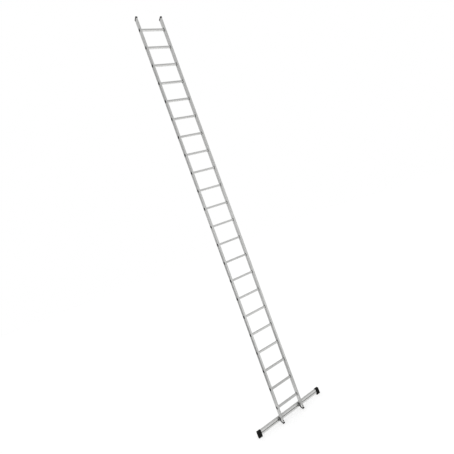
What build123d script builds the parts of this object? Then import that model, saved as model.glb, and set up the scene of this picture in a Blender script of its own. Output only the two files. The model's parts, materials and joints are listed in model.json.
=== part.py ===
"""Single section ladder: box stiles, square rungs flared into them, end caps, a slotted bar on feet."""
import os
from math import radians, tan

from build123d import *

# Layout in millimetres. X runs across the ladder, +Y points to the wall and Z runs up the stiles.
# The bar's feet stand on Z = 0.
rung_count = 22
rung_pitch = 280
first_rung_height = 240
ladder_width = 405
end_above_last_rung = 188
stile_end_height = 12

# Stile: a hollow box extrusion with two shallow lines along each wide face.
stile_depth = 72
stile_thickness = 25
stile_side_wall = 1.8
stile_edge_wall = 2.6
stile_corner = 3
stile_inner_corner = 1
line_width = 1.6
line_depth = 0.5
line_offset = 25

# Rung: a ribbed square tube through both stiles, with belled ends and a collar against each inner face.
rung_size = 28
rung_corner = 4.5
rung_wall = 1.6
rib_count = 5
rib_radius = 0.8
rung_hole_gap = 0.1
bell_length = 2.4
bell_angle = 40
collar_width = 4
collar_reach = 2.2
collar_chamfer = 1.2

# Rung plug: a plastic plug pressed into each rung end, with a countersunk head that fills the bell.
rung_plug_proud = 2.2
rung_plug_chamfer = 1.5
rung_plug_length = 14
rung_plug_wall = 2.4
rung_plug_gap = 0.1

# End cap: a plastic plug whose rim stands out all round the stile.
cap_rim = 18
cap_lip = 3
cap_chamfer = 2.5
plug_bolt_gap = 2.5
plug_gap = 0.15
plug_wall = 3
plug_corner = 1

# Stabiliser bar: three chambers, the middle one open to the front as a slot.
bar_overall = 1190
bar_depth = 34
bar_height = 62
bar_wall = 2.4
bar_corner = 3
slot_bolt_gap = 1
slot_chamber_height = 20
slot_lip = 3
chamber_corner = 1

# Rubber foot: a sleeve over each end of the bar with a thick grooved sole.
foot_length = 62
foot_sole = 22
foot_top_wall = 4
foot_side_wall = 3
foot_end_wall = 8
foot_corner = 4
foot_top_round = 1.5
foot_fit = 0.1
panel_border = 7
panel_depth = 1.2
panel_corner = 3
tread_count = 4
tread_width = 4
tread_depth = 3

# Saddle: a moulded channel between each stile and its clamp plate, with a wing on each side of the stile.
saddle_base = 1.5
saddle_wing = 5
saddle_reach = 32
saddle_below = 10
saddle_above = 33
saddle_fit = 0.1
saddle_corner = 2

# Clamp plate: a steel plate between each saddle and the bar, with its lower corners cut off.
plate_width = 104
plate_thickness = 2.5
plate_cap_gap = 3
plate_above = 43
plate_cut = 20
plate_corner = 3
plate_bolt_offset = 41

# Bolts: one through each stile and a flanged one on each side of it, all into nuts inside the slot.
bolt_diameter = 8
bolt_hole_gap = 0.5
bolt_head_flats = 13
hexagon_sides = 6
bolt_head_height = 5.3
bolt_head_chamfer = 0.8
bolt_past_nut = 3
bolt_flange_diameter = 17
bolt_flange_thickness = 1.5
washer_diameter = 16
washer_thickness = 1.6
washer_gap = 0.2
slot_nut_length = 30
slot_nut_side_gap = 1.5
slot_nut_thickness = 7
slot_nut_chamfer = 1
thread_gap = 0.05

# Clearance that lets the bar slide past the clamp plates and the slot nuts.
slide_gap = 0.4

# Places that follow from the sizes above. The box round the whole ladder is centred on Y = 0.
foot_depth = bar_depth + 2 * foot_side_wall
foot_height = foot_sole + bar_height + foot_top_wall
bar_centre_height = foot_sole + bar_height / 2
bolt_hole = bolt_diameter + 2 * bolt_hole_gap
slot_width = bolt_diameter + 2 * slot_bolt_gap
slot_nut_height = slot_chamber_height - 2 * slot_nut_side_gap
front_reach = stile_depth / 2 + washer_thickness + bolt_head_height
bar_front_reach = stile_depth / 2 + saddle_base + plate_thickness + slide_gap
back_reach = bar_front_reach + bar_depth + foot_side_wall
stile_y = (front_reach - back_reach) / 2
stile_x = (ladder_width - stile_thickness) / 2
bar_front_y = stile_y + bar_front_reach
bar_y = bar_front_y + bar_depth / 2
stile_front_y = stile_y - stile_depth / 2
stile_back_y = stile_y + stile_depth / 2
plate_front_y = stile_back_y + saddle_base
plate_back_y = plate_front_y + plate_thickness
nut_front_y = bar_front_y + slot_lip + slide_gap
rung_heights = [first_rung_height + number * rung_pitch for number in range(rung_count)]
ladder_top = rung_heights[-1] + end_above_last_rung
stile_start = stile_end_height + cap_rim
stile_length = ladder_top - cap_rim - stile_start
plate_bottom = stile_start + plate_cap_gap
plate_top = bar_centre_height + plate_above
plug_length = bar_centre_height - bolt_hole / 2 - plug_bolt_gap - stile_start
stile_inside_depth = stile_depth - 2 * stile_edge_wall
stile_inside_width = stile_thickness - 2 * stile_side_wall
rung_inside = rung_size - 2 * rung_wall
rung_inside_corner = rung_corner - rung_wall
rib_pitch = (rung_size - 2 * rung_corner) / rib_count
rung_hole_width = rung_size + 2 * rung_hole_gap
rung_hole_height = rung_hole_width + 2 * rib_radius
collar_size = rung_size + 2 * collar_reach
rung_end_x = ladder_width / 2 + bell_length
bell_reach = bell_length * tan(radians(bell_angle))
tread_pitch = foot_length / (tread_count + 1)
sides = {"left": -1, "right": 1}
stile_bolt_places = [(side * stile_x, bar_centre_height) for side in sides.values()]
plate_bolt_places = [
    (x + side * plate_bolt_offset, height) for x, height in stile_bolt_places for side in sides.values()
]


def save(piece, name):
    """Label a finished piece and write its file."""
    piece.label = name
    export_step(piece, f"parts/{name}.step")


def make_stile(side):
    """A stile standing at its place, with its rung holes and its bolt hole."""
    with BuildPart() as stile:
        with BuildSketch(Plane.XY.offset(stile_start)):
            with Locations((side * stile_x, stile_y)):
                RectangleRounded(stile_thickness, stile_depth, stile_corner)
                with GridLocations(stile_thickness, 2 * line_offset, 2, 2):
                    Rectangle(2 * line_depth, line_width, mode=Mode.SUBTRACT)
                RectangleRounded(
                    stile_inside_width, stile_inside_depth, stile_inner_corner, mode=Mode.SUBTRACT
                )
        extrude(amount=stile_length)
        with BuildSketch(Plane.YZ.offset(side * stile_x)):
            with Locations(*[(stile_y, height) for height in rung_heights]):
                RectangleRounded(rung_hole_width, rung_hole_height, rung_corner)
        extrude(amount=stile_thickness, both=True, mode=Mode.SUBTRACT)
        with BuildSketch(Plane.XZ.offset(-stile_y)):
            with Locations((side * stile_x, bar_centre_height)):
                Circle(bolt_hole / 2)
        extrude(amount=stile_depth, both=True, mode=Mode.SUBTRACT)
    return stile.part


def make_rung():
    """One rung centred on the origin, along X."""
    outer_x = ladder_width / 2
    inner_x = outer_x - stile_thickness
    with BuildPart() as rung:
        with BuildSketch(Plane.YZ.offset(-outer_x)):
            RectangleRounded(rung_size, rung_size, rung_corner)
            with GridLocations(rib_pitch, rung_size, rib_count, 2):
                Circle(rib_radius)
            RectangleRounded(rung_inside, rung_inside, rung_inside_corner, mode=Mode.SUBTRACT)
        extrude(amount=ladder_width)
        with BuildSketch(Plane.YZ.offset(inner_x - collar_width)):
            RectangleRounded(collar_size, collar_size, rung_corner + collar_reach)
        extrude(amount=collar_width)
        collar_face = rung.faces().filter_by(Axis.X).group_by(Axis.X)[-3]
        chamfer(collar_face[0].outer_wire().edges(), collar_chamfer)
        with BuildSketch(Plane.YZ.offset(outer_x)):
            RectangleRounded(rung_hole_width, rung_hole_height, rung_corner)
        extrude(amount=bell_length, taper=-bell_angle)
        with BuildSketch(Plane.YZ.offset(outer_x)):
            RectangleRounded(rung_inside, rung_inside, rung_inside_corner)
        extrude(amount=bell_length, taper=-bell_angle, mode=Mode.SUBTRACT)
        with BuildSketch(Plane.YZ):
            RectangleRounded(rung_inside, rung_inside, rung_inside_corner)
        extrude(amount=outer_x, mode=Mode.SUBTRACT)
        split(bisect_by=Plane.YZ)
        mirror(about=Plane.YZ)
    return rung.part


def make_rung_plug():
    """A plug in the right end of a rung that is centred on the origin."""
    outer_x = ladder_width / 2
    stem_size = rung_inside - 2 * rung_plug_gap
    stem_hollow = stem_size - 2 * rung_plug_wall
    head_size = stem_size + 2 * bell_reach
    with BuildPart() as plug:
        with BuildSketch(Plane.YZ.offset(outer_x)):
            RectangleRounded(stem_size, stem_size, rung_inside_corner)
        extrude(amount=bell_length, taper=-bell_angle)
        with BuildSketch(Plane.YZ.offset(rung_end_x)):
            RectangleRounded(head_size, head_size, rung_inside_corner + bell_reach)
        extrude(amount=rung_plug_proud)
        chamfer(plug.faces().sort_by(Axis.X)[-1].edges(), rung_plug_chamfer)
        with BuildSketch(Plane.YZ.offset(outer_x)):
            RectangleRounded(stem_size, stem_size, rung_inside_corner)
            Rectangle(stem_hollow, stem_hollow, mode=Mode.SUBTRACT)
        extrude(amount=-rung_plug_length)
    return plug.part


def make_cap():
    """An end cap for the top of a stile, with its rim standing on the origin."""
    plug_width = stile_inside_width - 2 * plug_gap
    plug_depth = stile_inside_depth - 2 * plug_gap
    with BuildPart() as cap:
        with BuildSketch():
            RectangleRounded(
                stile_thickness + 2 * cap_lip, stile_depth + 2 * cap_lip, stile_corner + cap_lip
            )
        extrude(amount=cap_rim)
        chamfer(cap.faces().sort_by(Axis.Z)[-1].edges(), cap_chamfer)
        with BuildSketch():
            RectangleRounded(plug_width, plug_depth, plug_corner)
            RectangleRounded(
                plug_width - 2 * plug_wall, plug_depth - 2 * plug_wall, plug_corner, mode=Mode.SUBTRACT
            )
        extrude(amount=-plug_length)
    return cap.part


def make_bar():
    """The stabiliser bar, with its slot facing the stiles."""
    bar_length = bar_overall - 2 * foot_end_wall
    chamber_depth = bar_depth - 2 * bar_wall
    chamber_height = (bar_height - slot_chamber_height) / 2 - 2 * bar_wall
    chamber_offset = (slot_chamber_height + chamber_height) / 2 + bar_wall
    slot_chamber_depth = bar_depth - slot_lip - bar_wall
    with BuildPart() as bar:
        with BuildSketch(Plane.YZ.offset(-bar_length / 2)):
            with Locations((bar_y, bar_centre_height)):
                RectangleRounded(bar_depth, bar_height, bar_corner)
                with Locations((0, -chamber_offset), (0, chamber_offset)):
                    RectangleRounded(chamber_depth, chamber_height, chamber_corner, mode=Mode.SUBTRACT)
            with Locations((bar_front_y + slot_lip + slot_chamber_depth / 2, bar_centre_height)):
                RectangleRounded(slot_chamber_depth, slot_chamber_height, chamber_corner, mode=Mode.SUBTRACT)
            with Locations((bar_front_y + slot_lip / 2, bar_centre_height)):
                Rectangle(2 * slot_lip, slot_width, mode=Mode.SUBTRACT)
        extrude(amount=bar_length)
    return bar.part


def make_foot(side):
    """A rubber foot over one end of the bar, standing on the floor."""
    foot_x = side * (bar_overall - foot_length) / 2
    outer_x = side * bar_overall / 2
    panel_height = foot_height - 2 * panel_border
    with BuildPart() as foot:
        with BuildSketch():
            with Locations((foot_x, bar_y)):
                RectangleRounded(foot_length, foot_depth, foot_corner)
        extrude(amount=foot_height)
        fillet(foot.faces().sort_by(Axis.Z)[-1].edges(), foot_top_round)
        with BuildSketch(Plane.YZ.offset(outer_x - side * foot_end_wall)):
            with Locations((bar_y, bar_centre_height)):
                RectangleRounded(bar_depth + 2 * foot_fit, bar_height + 2 * foot_fit, bar_corner)
        extrude(amount=-side * foot_length, mode=Mode.SUBTRACT)
        for face in sides.values():
            with BuildSketch(Plane.XZ.offset(-bar_y - face * foot_depth / 2)):
                with Locations((foot_x, foot_height / 2)):
                    RectangleRounded(foot_length - 2 * panel_border, panel_height, panel_corner)
            extrude(amount=face * panel_depth, mode=Mode.SUBTRACT)
        with BuildSketch(Plane.YZ.offset(outer_x)):
            with Locations((bar_y, foot_height / 2)):
                RectangleRounded(foot_depth - 2 * panel_border, panel_height, panel_corner)
        extrude(amount=-side * panel_depth, mode=Mode.SUBTRACT)
        with BuildSketch():
            with Locations((foot_x, bar_y)):
                with GridLocations(tread_pitch, foot_depth, tread_count, 1):
                    Rectangle(tread_width, foot_depth)
        extrude(amount=tread_depth, mode=Mode.SUBTRACT)
    return foot.part


def make_saddle(side):
    """A channel round the back of one stile, with a bolt hole through its base."""
    pocket_width = stile_thickness + 2 * saddle_fit
    with BuildPart() as saddle:
        with BuildSketch(Plane.XY.offset(bar_centre_height - saddle_below)):
            with Locations((side * stile_x, plate_front_y - saddle_reach / 2)):
                RectangleRounded(pocket_width + 2 * saddle_wing, saddle_reach, saddle_corner)
            with Locations((side * stile_x, stile_y + saddle_fit)):
                RectangleRounded(pocket_width, stile_depth, stile_corner, mode=Mode.SUBTRACT)
        extrude(amount=saddle_below + saddle_above)
        with BuildSketch(Plane.XZ.offset(-plate_front_y)):
            with Locations((side * stile_x, bar_centre_height)):
                Circle(bolt_hole / 2)
        extrude(amount=saddle_reach, mode=Mode.SUBTRACT)
    return saddle.part


def make_plate(side):
    """The clamp plate of one stile, with a hole for the stile's bolt and one on each side of it."""
    with BuildPart() as plate:
        with BuildSketch(Plane.XZ.offset(-plate_back_y)) as outline:
            with Locations((side * stile_x, (plate_top + plate_bottom) / 2)):
                Rectangle(plate_width, plate_top - plate_bottom)
            corners = outline.vertices().group_by(Axis.Y)
            chamfer(corners[0], plate_cut)
            fillet(corners[-1], plate_corner)
            with Locations(*stile_bolt_places, *plate_bolt_places):
                Circle(bolt_hole / 2, mode=Mode.SUBTRACT)
        extrude(amount=plate_thickness)
    return plate.part


def make_bolts(places, seat_y):
    """Hexagon bolts whose heads sit on a seat and whose ends stand past the slot nuts."""
    bolt_length = nut_front_y + slot_nut_thickness + bolt_past_nut - seat_y
    with BuildPart() as bolts:
        with BuildSketch(Plane.XZ.offset(-seat_y)):
            with Locations(*places):
                RegularPolygon(bolt_head_flats / 2, hexagon_sides, major_radius=False)
        extrude(amount=bolt_head_height)
        chamfer(bolts.faces().filter_by(Axis.Y).group_by(Axis.Y)[0].edges(), bolt_head_chamfer)
        with BuildSketch(Plane.XZ.offset(-seat_y)):
            with Locations(*places):
                Circle(bolt_diameter / 2)
        extrude(amount=-bolt_length)
    return bolts.part


def make_plate_bolts():
    """The bolts of the clamp plates, with a flange under each head."""
    with BuildPart() as bolts:
        add(make_bolts(plate_bolt_places, plate_front_y))
        with BuildSketch(Plane.XZ.offset(-plate_front_y)):
            with Locations(*plate_bolt_places):
                Circle(bolt_flange_diameter / 2)
        extrude(amount=bolt_flange_thickness)
    return bolts.part


def make_washers():
    """The washers under the heads of the stiles' bolts."""
    with BuildPart() as washers:
        with BuildSketch(Plane.XZ.offset(-stile_front_y)):
            with Locations(*stile_bolt_places):
                Circle(washer_diameter / 2)
                Circle(bolt_diameter / 2 + washer_gap, mode=Mode.SUBTRACT)
        extrude(amount=washer_thickness)
    return washers.part


def make_slot_nuts():
    """The nuts that hold the bar from inside its slot."""
    with BuildPart() as nuts:
        with BuildSketch(Plane.XZ.offset(-nut_front_y)):
            with Locations(*stile_bolt_places, *plate_bolt_places):
                Rectangle(slot_nut_length, slot_nut_height)
                Circle(bolt_diameter / 2 + thread_gap, mode=Mode.SUBTRACT)
        extrude(amount=-slot_nut_thickness)
        chamfer(nuts.edges().filter_by(Axis.Y), slot_nut_chamfer)
    return nuts.part


os.makedirs("parts", exist_ok=True)

rung = make_rung()
for number, height in enumerate(rung_heights, 1):
    with BuildPart() as placed_rung:
        with Locations((0, stile_y, height)):
            add(rung)
    save(placed_rung.part, f"rung_{number:02d}")

rung_plug = make_rung_plug()
turns = {"left": 180, "right": 0}
for name, turn in turns.items():
    with BuildPart() as rung_plugs:
        with Locations(*[Location((0, stile_y, height), (0, 0, turn)) for height in rung_heights]):
            add(rung_plug)
    save(rung_plugs.part, f"rung_plugs_{name}")

cap = make_cap()
for name, side in sides.items():
    save(make_stile(side), f"{name}_stile")
    save(make_foot(side), f"bar_foot_{name}")
    save(make_saddle(side), f"bar_saddle_{name}")
    save(make_plate(side), f"clamp_plate_{name}")
    with BuildPart() as top_cap:
        with Locations((side * stile_x, stile_y, stile_start + stile_length)):
            add(cap)
    save(top_cap.part, f"top_cap_{name}")
    with BuildPart() as bottom_cap:
        with Locations(Location((side * stile_x, stile_y, stile_start), (180, 0, 0))):
            add(cap)
    save(bottom_cap.part, f"bottom_cap_{name}")

save(make_bar(), "stabiliser_bar")
save(make_bolts(stile_bolt_places, stile_front_y - washer_thickness), "clamp_bolts")
save(make_plate_bolts(), "plate_bolts")
save(make_washers(), "bolt_washers")
save(make_slot_nuts(), "slot_nuts")
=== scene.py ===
"""Looks of the single section ladder: a finish for every piece, a pale floor, soft light and the camera."""
import json
from math import pi, radians

import bpy
from mathutils import Matrix, Vector


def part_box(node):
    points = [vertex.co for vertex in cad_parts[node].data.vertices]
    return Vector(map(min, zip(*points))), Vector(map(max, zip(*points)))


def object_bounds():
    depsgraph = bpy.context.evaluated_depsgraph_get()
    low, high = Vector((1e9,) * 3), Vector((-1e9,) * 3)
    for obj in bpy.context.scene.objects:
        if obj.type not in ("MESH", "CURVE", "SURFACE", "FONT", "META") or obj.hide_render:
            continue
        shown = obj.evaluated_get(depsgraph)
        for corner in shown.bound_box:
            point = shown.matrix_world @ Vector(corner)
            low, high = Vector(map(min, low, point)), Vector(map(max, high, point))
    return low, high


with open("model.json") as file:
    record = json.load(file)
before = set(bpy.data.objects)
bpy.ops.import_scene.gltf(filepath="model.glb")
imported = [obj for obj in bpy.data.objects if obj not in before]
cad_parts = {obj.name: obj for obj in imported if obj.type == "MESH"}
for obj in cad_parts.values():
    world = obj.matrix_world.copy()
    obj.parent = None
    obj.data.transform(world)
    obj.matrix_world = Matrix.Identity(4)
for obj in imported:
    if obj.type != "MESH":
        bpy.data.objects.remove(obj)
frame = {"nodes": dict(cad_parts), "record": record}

cad_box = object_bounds()

# Lengths are in metres. X runs across the ladder, +Y points to the wall and Z runs up the stiles.
mm = 0.001
rung_names = sorted(name for name in frame["nodes"] if name.startswith("rung_") and name[-2:].isdigit())
rung_low, rung_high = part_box(rung_names[0])
rung_centre = (rung_low + rung_high) / 2
rung_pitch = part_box(rung_names[1])[0].z - rung_low.z
collar_half = (rung_high.z - rung_low.z) / 2
collar_width = 4 * mm
stile_low, stile_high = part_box("right_stile")
ladder_centre = (cad_box[0] + cad_box[1]) / 2

# Camera, fitted to both ends of every rung and to the bar in the photograph.
camera_place = Vector((-1.8235, -3.9992, 2.9336))
camera_azimuth = radians(25.08)
camera_elevation = radians(0.40)
camera_roll = radians(20.02)
camera_lens_mm = 23.29
camera_sensor_mm = 36

# Colours are linear.
stile_colour = (0.864, 0.865, 0.852, 1)
rung_colour = (0.854, 0.855, 0.842, 1)
bar_colour = (0.844, 0.845, 0.832, 1)
cap_colour = (0.008, 0.008, 0.009, 1)
saddle_colour = (0.13, 0.13, 0.132, 1)
rubber_colour = (0.014, 0.014, 0.014, 1)
zinc_colour = (0.68, 0.68, 0.66, 1)
black_steel_colour = (0.03, 0.03, 0.032, 1)
dust_colour = (0.16, 0.15, 0.14, 1)
floor_colour = (0.48, 0.48, 0.48, 1)
white = (1, 1, 1, 1)

# Share of painted shade that darkens the top of a rung, which boots also roughen. Painted light makes its
# underside brighter by the same share.
tread_wear_and_painted_light = 0.07


def add_node(tree, kind, inputs=None, **settings):
    """A new node. Each input is a value or another node's output."""
    node = tree.nodes.new(kind)
    for name, value in settings.items():
        setattr(node, name, value)
    for name, value in (inputs or {}).items():
        if isinstance(value, bpy.types.NodeSocket):
            tree.links.new(value, node.inputs[name])
        else:
            node.inputs[name].default_value = value
    return node


def new_material(name):
    """A material, its node tree and its shader."""
    material = bpy.data.materials.new(name)
    material.use_nodes = True
    return material, material.node_tree, material.node_tree.nodes["Principled BSDF"]


def object_place(tree):
    """The place of the shaded point on its own object, so that a finish moves with its piece."""
    return add_node(tree, "ShaderNodeTexCoord").outputs["Object"]


def split(tree, vector):
    """The X, Y and Z of a vector."""
    return add_node(tree, "ShaderNodeSeparateXYZ", {"Vector": vector}).outputs


def noise(tree, place, feature, detail=3):
    """Soft noise whose features have the given size along X, Y and Z."""
    scale = [1 / size for size in feature]
    mapping = add_node(tree, "ShaderNodeMapping", {"Vector": place, "Scale": scale})
    texture = add_node(
        tree, "ShaderNodeTexNoise", {"Vector": mapping.outputs["Vector"], "Scale": 1, "Detail": detail}
    )
    return texture.outputs["Fac"]


def remap(tree, value, low, high, start=0.25, end=0.75):
    """A value that runs from low to high as the given one runs from start to end."""
    node = add_node(
        tree,
        "ShaderNodeMapRange",
        {"Value": value, "From Min": start, "From Max": end, "To Min": low, "To Max": high},
    )
    return node.outputs["Result"]


def combine(tree, operation, *values):
    """Arithmetic on one or more values."""
    node = add_node(tree, "ShaderNodeMath", operation=operation)
    for socket, value in zip(node.inputs, values):
        if isinstance(value, bpy.types.NodeSocket):
            tree.links.new(value, socket)
        else:
            socket.default_value = value
    return node.outputs["Value"]


def shade(tree, colour, factor):
    """A colour multiplied by a varying factor."""
    node = add_node(tree, "ShaderNodeVectorMath", operation="SCALE")
    node.inputs[0].default_value = colour[:3]
    tree.links.new(factor, node.inputs["Scale"])
    return node.outputs["Vector"]


def along(axis, length, width):
    """Feature sizes of a line that runs along an axis."""
    return [length if index == axis else width for index in range(3)]


def cube(size):
    """The same feature size along every axis."""
    return [size, size, size]


def painted_shade_on_stile(tree, place):
    """A ragged ring of painted shade round each rung where it enters the stile, measured square like the
    rung, and a darker band along the stile's ends by the caps.
    """
    ring_width = 10 * mm
    rim_width = 9 * mm
    raggedness = 3 * mm
    ring_start = collar_half - 1 * mm
    parts = split(tree, place)
    across = combine(tree, "ABSOLUTE", combine(tree, "SUBTRACT", parts["Y"], rung_centre.y))
    up = combine(tree, "PINGPONG", combine(tree, "SUBTRACT", parts["Z"], rung_centre.z), rung_pitch / 2)
    from_rung = combine(tree, "MAXIMUM", across, up)
    from_foot = combine(tree, "SUBTRACT", parts["Z"], stile_low.z)
    from_top = combine(tree, "SUBTRACT", stile_high.z, parts["Z"])
    from_end = combine(tree, "MINIMUM", from_foot, from_top)
    ragged = remap(tree, noise(tree, place, cube(7 * mm)), -raggedness, raggedness)
    from_rung = combine(tree, "ADD", from_rung, ragged)
    from_end = combine(tree, "ADD", from_end, ragged)
    ring = remap(tree, from_rung, 1.0, 0.0, ring_start, ring_start + ring_width)
    rim = remap(tree, from_end, 0.8, 0.0, 0.0, rim_width)
    return combine(tree, "MAXIMUM", ring, rim)


def painted_shade_on_rung(tree, place):
    """Painted shade on the collars where the rung meets the stiles, running a little way along the rung."""
    run_out = 5 * mm
    raggedness = 2 * mm
    collar_start = stile_low.x - collar_width
    outward = combine(tree, "ABSOLUTE", split(tree, place)["X"])
    ragged = remap(tree, noise(tree, place, cube(5 * mm)), -raggedness, raggedness)
    outward = combine(tree, "ADD", outward, ragged)
    return remap(tree, outward, 0.0, 1.0, collar_start - run_out, collar_start + 1 * mm)


def slight_grime(tree, place):
    """A trace of dirt in patches."""
    return remap(tree, noise(tree, place, cube(40 * mm)), 0.0, 0.15, 0.5, 0.8)


def facing_up(tree):
    """1 on a face that looks up, 0 on an upright one and -1 on an underside."""
    facing = add_node(tree, "ShaderNodeTexCoord").outputs["Normal"]
    return split(tree, facing)["Z"]


def add_relief(tree, shader, height, strength, depth):
    """Fine relief that shows in the shading alone."""
    bump = add_node(tree, "ShaderNodeBump", {"Height": height, "Strength": strength, "Distance": depth})
    tree.links.new(bump.outputs["Normal"], shader.inputs["Normal"])


def extruded_aluminium(name, axis, colour, grime_and_shade, wear_and_painted_light=0.0):
    """Mill-finish aluminium with die lines along its length, a cloudy bloom, rub marks, and a darkening
    from the caller: painted shade round the rung joints, a trace of soiling on the bar.

    The given share darkens its top with painted shade, and boots make the top rougher. Its underside is as
    much brighter, with painted light, and smoother.
    """
    grime_and_shade_tint = 0.24
    top_roughening = 0.5 * wear_and_painted_light
    underside_smoothing = 2.5 * wear_and_painted_light
    material, tree, shader = new_material(name)
    place = object_place(tree)
    die_lines = noise(tree, place, along(axis, 400 * mm, 0.5 * mm))
    bands = noise(tree, place, along(axis, 1500 * mm, 7 * mm), 2)
    bloom = noise(tree, place, cube(90 * mm), 4)
    rubs = noise(tree, place, along(axis, 14 * mm, 2.5 * mm), 5)
    dirt_and_shade = grime_and_shade(tree, place)
    upward = facing_up(tree)
    tint = remap(tree, die_lines, 0.93, 1.04)
    for factor in (
        remap(tree, bands, 0.96, 1.03),
        remap(tree, bloom, 0.95, 1.03),
        remap(tree, rubs, 1.0, 0.88, 0.60, 0.78),
        # Darker where the caller's mask says: painted shade round the rung joints, soiling on the bar.
        remap(tree, dirt_and_shade, 1.0, grime_and_shade_tint, 0.0, 1.0),
        # Painted shade on faces that look up, painted light on undersides.
        remap(tree, upward, 1 + wear_and_painted_light, 1 - wear_and_painted_light, -1.0, 1.0),
    ):
        tint = combine(tree, "MULTIPLY", tint, factor)
    tree.links.new(shade(tree, colour, tint), shader.inputs["Base Color"])
    roughness = remap(tree, die_lines, 0.34, 0.44)
    for extra in (
        remap(tree, bloom, -0.03, 0.05),
        remap(tree, rubs, 0.0, 0.12, 0.60, 0.78),
        remap(tree, dirt_and_shade, 0.0, 0.2, 0.0, 1.0),
        remap(tree, upward, -underside_smoothing, top_roughening, -1.0, 1.0),
    ):
        roughness = combine(tree, "ADD", roughness, extra)
    tree.links.new(roughness, shader.inputs["Roughness"])
    add_relief(tree, shader, die_lines, strength=0.35, depth=0.05 * mm)
    shader.inputs["Metallic"].default_value = 0.92
    return material


def moulded_plastic(name, colour, gloss):
    """Moulded plastic with a fine spark-eroded grain."""
    material, tree, shader = new_material(name)
    place = object_place(tree)
    grain = noise(tree, place, cube(0.6 * mm))
    flow = noise(tree, place, cube(25 * mm))
    tree.links.new(shade(tree, colour, remap(tree, flow, 0.8, 1.3)), shader.inputs["Base Color"])
    tree.links.new(remap(tree, flow, 0.5, 0.65), shader.inputs["Roughness"])
    shader.inputs["Specular IOR Level"].default_value = gloss
    add_relief(tree, shader, grain, strength=0.4, depth=0.1 * mm)
    return material


def foot_rubber(name, colour):
    """Dull black rubber with dust low on its sides."""
    material, tree, shader = new_material(name)
    place = object_place(tree)
    grain = noise(tree, place, cube(0.8 * mm))
    patches = noise(tree, place, (18 * mm, 18 * mm, 12 * mm), 5)
    low_down = remap(tree, split(tree, place)["Z"], 0.55, 0.0, 0.0, 24 * mm)
    dust = combine(tree, "MULTIPLY", low_down, remap(tree, patches, 0.0, 1.0, 0.42, 0.68))
    mixed = add_node(
        tree, "ShaderNodeMix", {"Factor": dust, "A": colour, "B": dust_colour}, data_type="RGBA"
    )
    tree.links.new(mixed.outputs["Result"], shader.inputs["Base Color"])
    tree.links.new(remap(tree, patches, 0.68, 0.86), shader.inputs["Roughness"])
    shader.inputs["Specular IOR Level"].default_value = 0.1
    add_relief(tree, shader, grain, strength=0.5, depth=0.15 * mm)
    return material


def plated_steel(name, colour):
    """Zinc-plated or blackened steel with a faint mottle."""
    material, tree, shader = new_material(name)
    place = object_place(tree)
    mottle = noise(tree, place, cube(2.5 * mm), 4)
    tree.links.new(shade(tree, colour, remap(tree, mottle, 0.8, 1.15)), shader.inputs["Base Color"])
    tree.links.new(remap(tree, mottle, 0.28, 0.46), shader.inputs["Roughness"])
    shader.inputs["Metallic"].default_value = 1
    return material


finishes = {
    "stile_aluminium": extruded_aluminium("stile_finish", 2, stile_colour, painted_shade_on_stile),
    "rung_aluminium": extruded_aluminium("rung_finish", 0, rung_colour, painted_shade_on_rung, tread_wear_and_painted_light),
    "bar_aluminium": extruded_aluminium("bar_finish", 0, bar_colour, slight_grime),
    "cap_plastic": moulded_plastic("cap_finish", cap_colour, gloss=0.06),
    "saddle_plastic": moulded_plastic("saddle_finish", saddle_colour, gloss=0.2),
    "foot_rubber": foot_rubber("foot_finish", rubber_colour),
    "zinc_steel": plated_steel("zinc_finish", zinc_colour),
    "black_steel": plated_steel("black_finish", black_steel_colour),
}
for subpart in frame["record"]["subparts"]:
    piece = frame["nodes"][subpart["node"]]
    piece.data.materials.clear()
    piece.data.materials.append(finishes[subpart["material_slot"]])


def seen_directly(tree):
    """1 for rays from the camera, a mirror or glass, and 0 for the rays that light the scene."""
    path = add_node(tree, "ShaderNodeLightPath")
    kinds = [path.outputs[name] for name in ("Is Camera Ray", "Is Glossy Ray", "Is Transmission Ray")]
    return combine(tree, "MAXIMUM", combine(tree, "MAXIMUM", kinds[0], kinds[1]), kinds[2])


def make_world():
    """A white surround that lights the scene at a plain level."""
    ambient_strength = 0.8
    world = bpy.data.worlds.new("studio")
    world.use_nodes = True
    tree = world.node_tree
    strength = remap(tree, seen_directly(tree), ambient_strength, 1.0, 0.0, 1.0)
    background = tree.nodes["Background"]
    background.inputs["Color"].default_value = white
    tree.links.new(strength, background.inputs["Strength"])
    bpy.context.scene.world = world


def add_rectangle(name, width, height):
    """A flat rectangle about its own middle."""
    mesh = bpy.data.meshes.new(name)
    corners = [(-width / 2, -height / 2, 0), (width / 2, -height / 2, 0)]
    corners += [(width / 2, height / 2, 0), (-width / 2, height / 2, 0)]
    mesh.from_pydata(corners, [], [range(len(corners))])
    rectangle = bpy.data.objects.new(name, mesh)
    bpy.context.scene.collection.objects.link(rectangle)
    return rectangle


def make_floor():
    """A pale floor that stays white to the camera and keeps the ladder's shadow."""
    floor_size = 80
    floor_glow = 0.65
    floor = add_rectangle("floor", floor_size, floor_size)
    material, tree, shader = new_material("floor_finish")
    shader.inputs["Base Color"].default_value = floor_colour
    shader.inputs["Roughness"].default_value = 0.9
    shader.inputs["Specular IOR Level"].default_value = 0
    shader.inputs["Emission Color"].default_value = white
    glow = remap(tree, seen_directly(tree), 0.0, floor_glow, 0.0, 1.0)
    tree.links.new(glow, shader.inputs["Emission Strength"])
    floor.data.materials.append(material)


def facing_ladder(azimuth, elevation):
    """The turn of a lamp or card that looks back at the ladder. Azimuth 0 is in front, positive right."""
    return Matrix.Rotation(azimuth, 3, "Z") @ Matrix.Rotation(pi / 2 - elevation, 3, "X")


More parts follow.
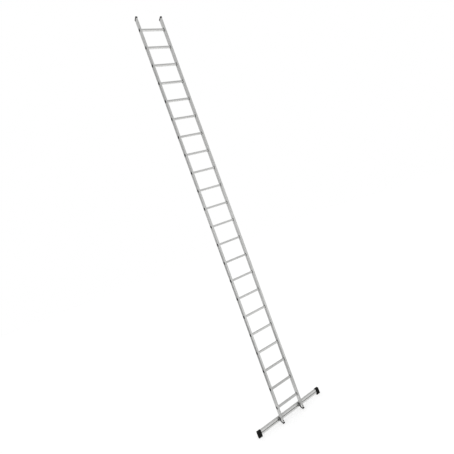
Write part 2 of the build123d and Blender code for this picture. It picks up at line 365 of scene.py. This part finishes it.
def add_softbox(name, azimuth, elevation, distance, width, height, power):
    """A soft rectangular lamp at a distance from the ladder's middle."""
    turn = facing_ladder(azimuth, elevation)
    lamp = bpy.data.lights.new(name, "AREA")
    lamp.shape = "RECTANGLE"
    lamp.size = width
    lamp.size_y = height
    lamp.energy = power
    lamp_object = bpy.data.objects.new(name, lamp)
    lamp_object.matrix_world = Matrix.LocRotScale(
        ladder_centre + turn @ Vector((0, 0, distance)), turn, None
    )
    bpy.context.scene.collection.objects.link(lamp_object)


def add_card(name, place, turn, width, height, grey):
    """A grey card of the studio, soft at its edges, that shows only in reflections."""
    fade = 0.2
    material, tree, shader = new_material(name)
    shader.inputs["Base Color"].default_value = (0, 0, 0, 1)
    shader.inputs["Specular IOR Level"].default_value = 0
    shader.inputs["Emission Color"].default_value = white
    shader.inputs["Emission Strength"].default_value = grey
    spread = add_node(tree, "ShaderNodeTexCoord").outputs["Generated"]
    parts = split(tree, spread)
    to_edge = [combine(tree, "PINGPONG", parts[axis], 0.5) for axis in ("X", "Y")]
    cover = remap(tree, combine(tree, "MINIMUM", *to_edge), 0.0, 1.0, 0.0, fade)
    tree.links.new(cover, shader.inputs["Alpha"])
    card = add_rectangle(name, width, height)
    card.data.materials.append(material)
    card.matrix_world = Matrix.LocRotScale(place, turn, None)
    card.visible_camera = False
    card.visible_diffuse = False
    card.visible_shadow = False
    card.visible_transmission = False


def add_standing_card(name, azimuth, distance, width, height, grey, lift=0.0):
    """A card that stands round the ladder and faces it, level with its middle unless it is lifted."""
    turn = facing_ladder(azimuth, 0)
    add_card(name, ladder_centre + turn @ Vector((0, lift, distance)), turn, width, height, grey)


def add_flat_card(name, place, width, depth, grey):
    """A card that lies on the floor or hangs flat overhead."""
    add_card(name, place, Matrix.Identity(3), width, depth, grey)


def make_camera():
    """The camera at the photograph's place."""
    camera = bpy.data.cameras.new("camera")
    camera.lens = camera_lens_mm
    camera.sensor_width = camera_sensor_mm
    camera.dof.use_dof = False
    turn = (
        Matrix.Rotation(-camera_azimuth, 3, "Z")
        @ Matrix.Rotation(pi / 2 + camera_elevation, 3, "X")
        @ Matrix.Rotation(-camera_roll, 3, "Z")
    )
    camera_object = bpy.data.objects.new("camera", camera)
    camera_object.matrix_world = Matrix.LocRotScale(camera_place, turn, None)
    bpy.context.scene.collection.objects.link(camera_object)
    bpy.context.scene.camera = camera_object


make_world()
make_floor()
add_softbox("key", radians(36), radians(6), distance=9, width=5, height=4, power=12)
add_softbox("overhead", radians(20), radians(75), distance=12, width=8, height=8, power=20)

# Cards that the side faces of the stiles mirror.
left_azimuth = radians(-155)
left_turn = facing_ladder(left_azimuth, 0)
add_standing_card("left_card", left_azimuth, distance=4, width=5, height=10, grey=0.61)
add_card("left_flag_low", Vector((-0.86, 0.86, 1.2)), left_turn, width=0.8, height=4.4, grey=0.12)
add_card("left_flag_high", Vector((-0.86, 0.86, 4.9)), left_turn, width=0.8, height=4.0, grey=0.23)
add_flat_card("left_floor", Vector((-2.0, 1.95, 0.002)), width=5.2, depth=4.4, grey=0.40)
add_standing_card("right_card", radians(100), distance=8, width=14, height=12, grey=0.42)

# Cards that the fronts of the stiles, rungs and bar mirror.
add_flat_card("bar_floor", Vector((0, -0.06, 0.002)), width=1.7, depth=0.2, grey=0.80)
add_flat_card("stile_floor", Vector((0.1, -0.22, 0.004)), width=1.4, depth=0.2, grey=0.28)
add_flat_card("front_floor", Vector((0.6, -1.1, 0.002)), width=2.4, depth=1.9, grey=0.46)
add_flat_card("front_far_floor", Vector((2.0, -5.5, 0.003)), width=11, depth=8.4, grey=0.72)
add_standing_card("front_card", radians(25), distance=9, width=12, height=7.5, grey=0.55, lift=-0.75)

# Cards that the tops and backs mirror.
add_standing_card("back_card", radians(155), distance=14, width=28, height=14, grey=0.30)
add_flat_card("ceiling", Vector((0, 0, 9)), width=70, depth=70, grey=0.51)
add_flat_card("back_ceiling", Vector((0, 18, 8.95)), width=48, depth=36, grey=0.60)
make_camera()
bpy.context.scene.view_settings.view_transform = "Standard"
